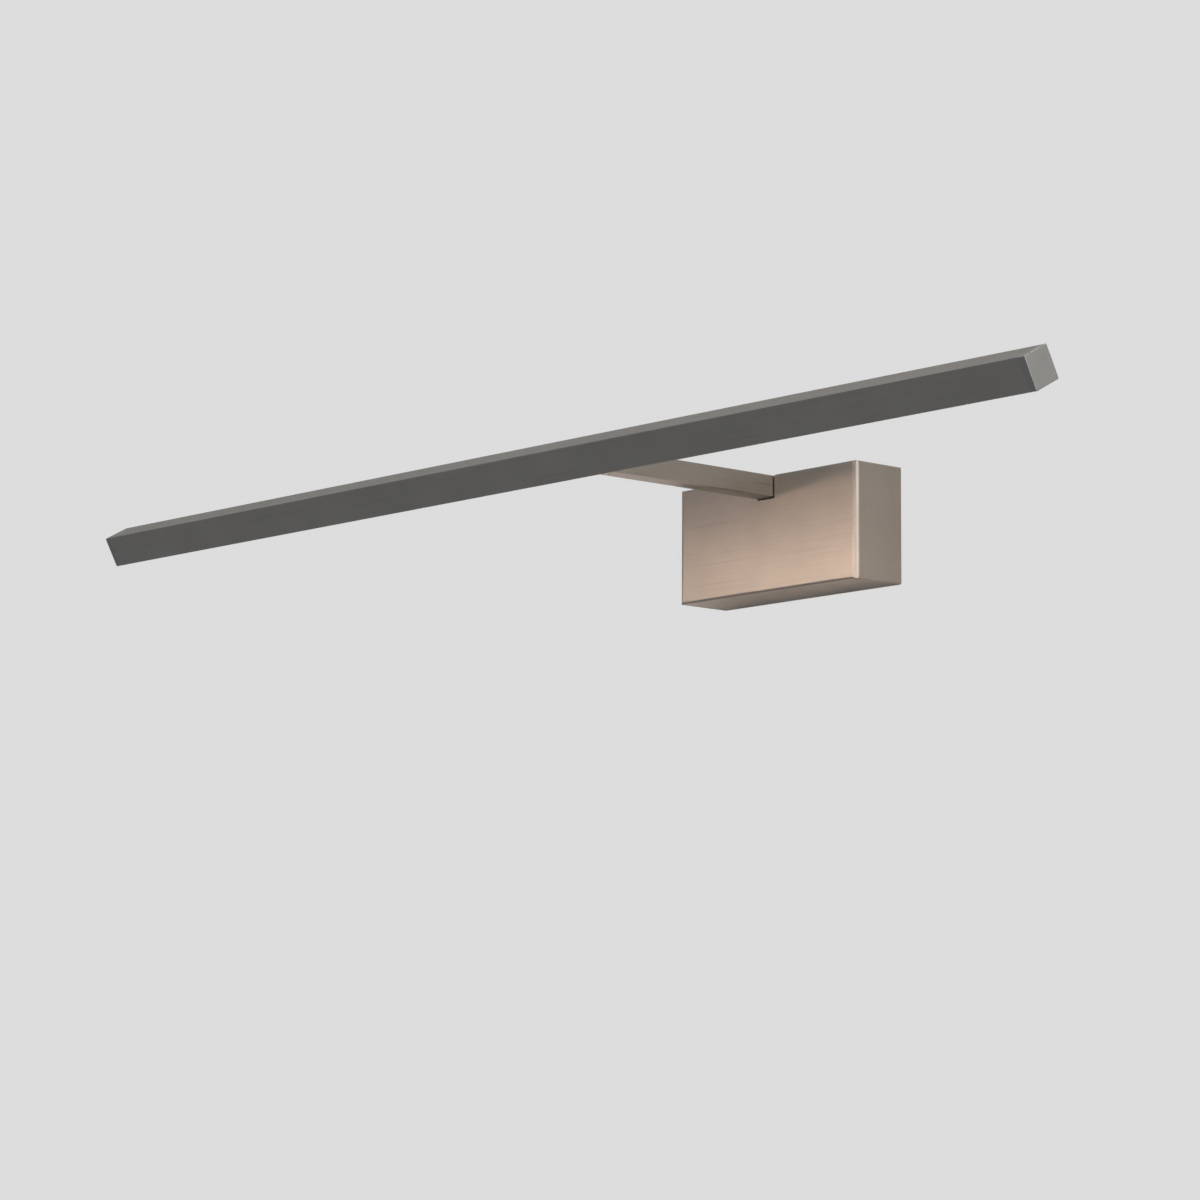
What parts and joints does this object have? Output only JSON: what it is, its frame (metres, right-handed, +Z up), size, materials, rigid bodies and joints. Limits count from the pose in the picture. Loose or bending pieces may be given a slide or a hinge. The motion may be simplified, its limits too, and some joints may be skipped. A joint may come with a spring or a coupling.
{
  "type": "picture light",
  "caption": "Slim square bar light that tilts on a square arm from a rectangular wall box, lighting the picture below it.",
  "frame": {"origin": "centre of the wall plate's back face, on the wall", "axes": "+X along the head to the viewer's right, +Y into the wall, +Z up"},
  "size_m": [0.6, 0.1807, 0.053],
  "materials": {
    "satin_nickel_steel": "horizontal brushed satin nickel plate with a warm grey tone",
    "satin_nickel_aluminium": "satin nickel finish brushed along the length",
    "nickel_screw": "satin",
    "zinc_steel": "bright zinc plate",
    "black_steel": "black oxide",
    "brass": "bare brass",
    "black_rubber": "matte",
    "white_plastic": "fine matte moulding",
    "black_plastic": "shrink sleeve",
    "green_board": "solder resist over glass fibre",
    "white_board": "white solder resist on an aluminium core",
    "transformer_tape": "polyester tape",
    "phosphor": "yellow phosphor under silicone",
    "frosted_diffuser": "frosted opal acrylic, lit warm white",
    "thermal_pad": "thermal adhesive tape",
    "nylon": "natural nylon",
    "lead_sleeve": "flexible sleeve",
    "live_sleeve": "brown insulation",
    "neutral_sleeve": "blue insulation",
    "earth_sleeve": "green and yellow insulation"
  },
  "bodies": {
    "bracket": {"wall_plate": "zinc_steel", "cover": "satin_nickel_steel", "cover_screws": "nickel_screw", "cable_grommet": "black_rubber", "earth_screw": "brass", "earth_tag": "zinc_steel", "earth_wire": "earth_sleeve", "terminal_body": "white_plastic", "terminal_clamps": "brass", "terminal_screws": "zinc_steel", "terminal_fixing_screw": "zinc_steel", "live_wire": "live_sleeve", "neutral_wire": "neutral_sleeve", "driver_case": "white_plastic", "driver_lid": "white_plastic", "driver_board": "green_board", "driver_transformer": "transformer_tape", "driver_capacitors": "black_plastic", "driver_screws": "zinc_steel", "arm_foot": "zinc_steel", "arm_foot_screws": "zinc_steel", "arm_set_screw": "black_steel", "arm_tube": "satin_nickel_aluminium", "lead_bush": "black_rubber", "arm_fork": "satin_nickel_aluminium", "fork_pin": "zinc_steel", "arm_lead": "lead_sleeve", "pivot_screw": "nickel_screw", "pivot_nut": "nickel_screw", "friction_washers": "nylon"},
    "head": {"hinge_block": "satin_nickel_aluminium", "hinge_screws": "zinc_steel", "head_channel": "satin_nickel_aluminium", "head_lead": "lead_sleeve", "lead_connector": "white_plastic", "thermal_tape": "thermal_pad", "led_board": "white_board", "led_chips": "phosphor", "diffuser": "frosted_diffuser", "end_cap_left": "satin_nickel_aluminium", "end_cap_right": "satin_nickel_aluminium"}
  },
  "joints": [
    {"name": "head_tilt", "type": "hinge", "parent": "bracket", "child": "head", "pos_m": [0, -0.156, 0.0211], "axis": [1, 0, 0], "range_deg": [-28.5, 61.5]}
  ]
}
